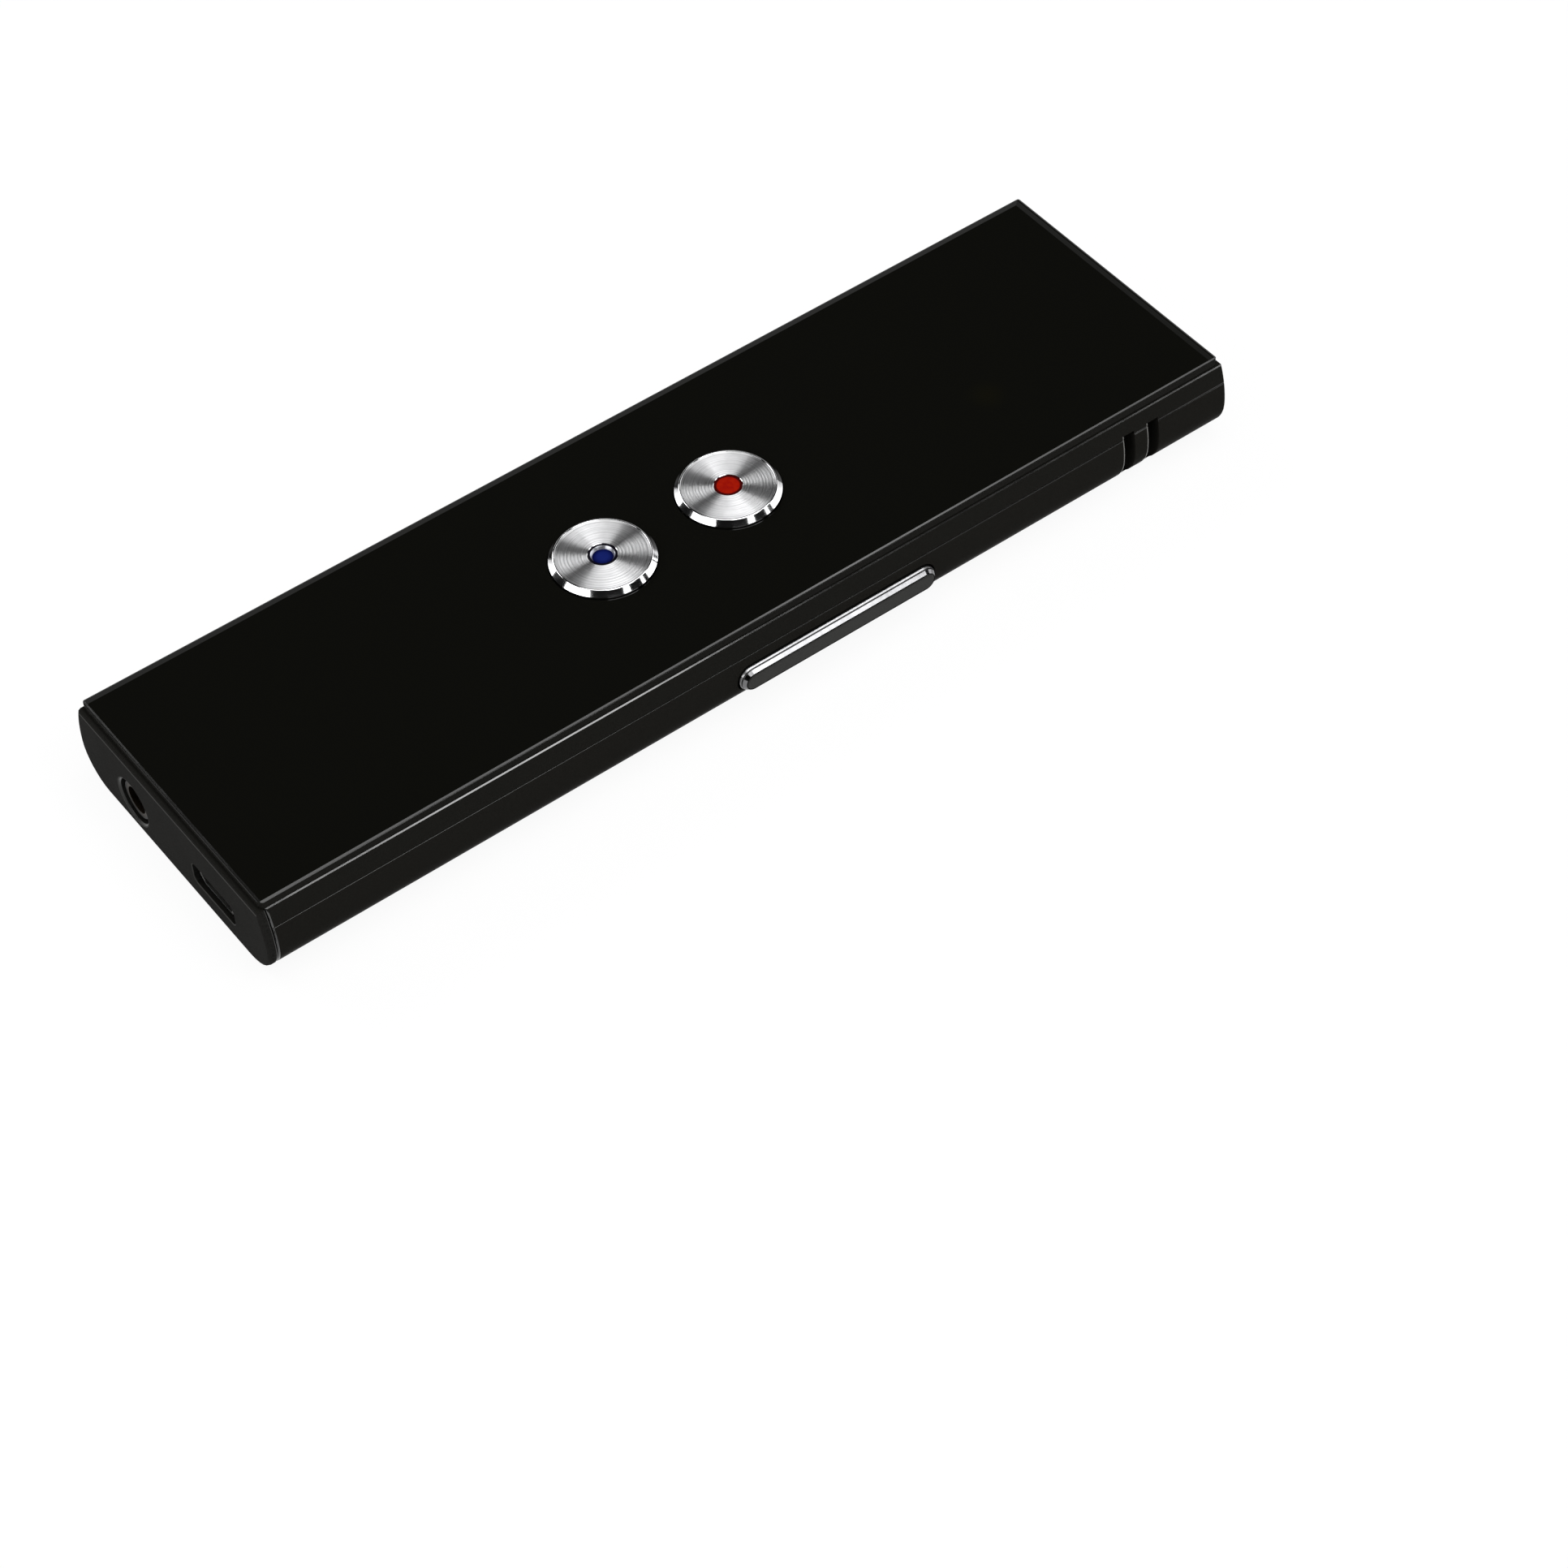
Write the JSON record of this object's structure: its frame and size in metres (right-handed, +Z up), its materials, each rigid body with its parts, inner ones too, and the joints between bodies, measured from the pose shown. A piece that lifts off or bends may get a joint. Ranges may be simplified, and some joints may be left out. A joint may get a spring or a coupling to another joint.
{
  "type": "handheld translator",
  "caption": "Slim handheld voice translator: gloss-topped bar with two round push buttons, a rocking side key, ports in its end cap and a lanyard eye.",
  "frame": {"origin": "on the flat back, under the middle of the body's length and width", "axes": "X across the width (side key at +X), Y along the length (ports at -Y), Z up from the back to the panel"},
  "size_m": [0.042, 0.14, 0.0132],
  "materials": {
    "lower_shell": "polished black moulding",
    "upper_frame": "polished black moulding",
    "end_cap": "fine matt texture",
    "gloss_panel": "piano black, polished",
    "tape": "double sided tape",
    "spun_metal": "spun face with a polished bevel",
    "red_plastic": "smooth",
    "blue_plastic": "clear tinted, polished",
    "inner_plastic": "as moulded",
    "switch_stem": "as moulded",
    "switch_body": "stamped",
    "key_metal": "grey satin with a bright bevel",
    "steel_pin": "ground",
    "circuit_board": "solder mask",
    "chip_black": "moulded",
    "can_metal": "stamped",
    "cell_foil": "laminated foil",
    "lead_red": "insulation",
    "lead_black": "insulation",
    "speaker_metal": "stamped",
    "cone_paper": "coated paper",
    "dark_rubber": "soft",
    "dust_mesh": "woven",
    "socket_metal": "tin plated",
    "socket_plastic": "moulded",
    "bush_metal": "nickel plated",
    "light_lens": "clear",
    "screw_black": "blackened",
    "screw_steel": "plated"
  },
  "bodies": {
    "casing": {"rear_shell": "lower_shell", "front_frame": "upper_frame", "end_cap": "end_cap", "top_panel": "gloss_panel", "panel_tape": "tape", "button_switches": "switch_body", "side_key_pin": "steel_pin", "side_switches": "switch_body", "main_board": "circuit_board", "circuit_chips": "chip_black", "shield_can": "can_metal", "battery_cell": "cell_foil", "battery_tape": "tape", "battery_leads": "lead_red", "speaker_basket": "speaker_metal", "speaker_cone": "cone_paper", "speaker_gasket": "dark_rubber", "speaker_mesh": "dust_mesh", "speaker_leads": "lead_black", "microphone": "can_metal", "microphone_boot": "dark_rubber", "microphone_leads": "lead_black", "usb_socket_shell": "socket_metal", "usb_socket_tongue": "chip_black", "headphone_socket": "socket_plastic", "headphone_bush": "bush_metal", "status_light": "light_lens", "light_guide": "light_lens", "case_screws": "screw_black", "board_screws": "screw_steel"},
    "red_button": {"button_cap_red": "spun_metal", "button_insert_red": "red_plastic", "button_carrier_red": "inner_plastic", "switch_stem_red": "switch_stem"},
    "blue_button": {"button_cap_blue": "spun_metal", "button_lens_blue": "blue_plastic", "button_carrier_blue": "inner_plastic", "switch_stem_blue": "switch_stem"},
    "rocker_key": {"side_key": "key_metal", "side_key_carrier": "inner_plastic"}
  },
  "joints": [
    {"name": "red_button_press", "type": "slide", "parent": "casing", "child": "red_button", "axis": [0, 0, -1], "range_m": [0, 0.0003], "stiffness_N_per_m": 2000, "springref_m": -0.0002},
    {"name": "blue_button_press", "type": "slide", "parent": "casing", "child": "blue_button", "axis": [0, 0, -1], "range_m": [0, 0.0003], "stiffness_N_per_m": 2000, "springref_m": -0.0002},
    {"name": "side_key_rock", "type": "hinge", "parent": "casing", "child": "rocker_key", "pos_m": [0.01637, 0.00935, 0.0052], "axis": [0, 0, 1], "range_deg": [-1.2, 1.2], "stiffness_Nm_per_rad": 0.5}
  ]
}
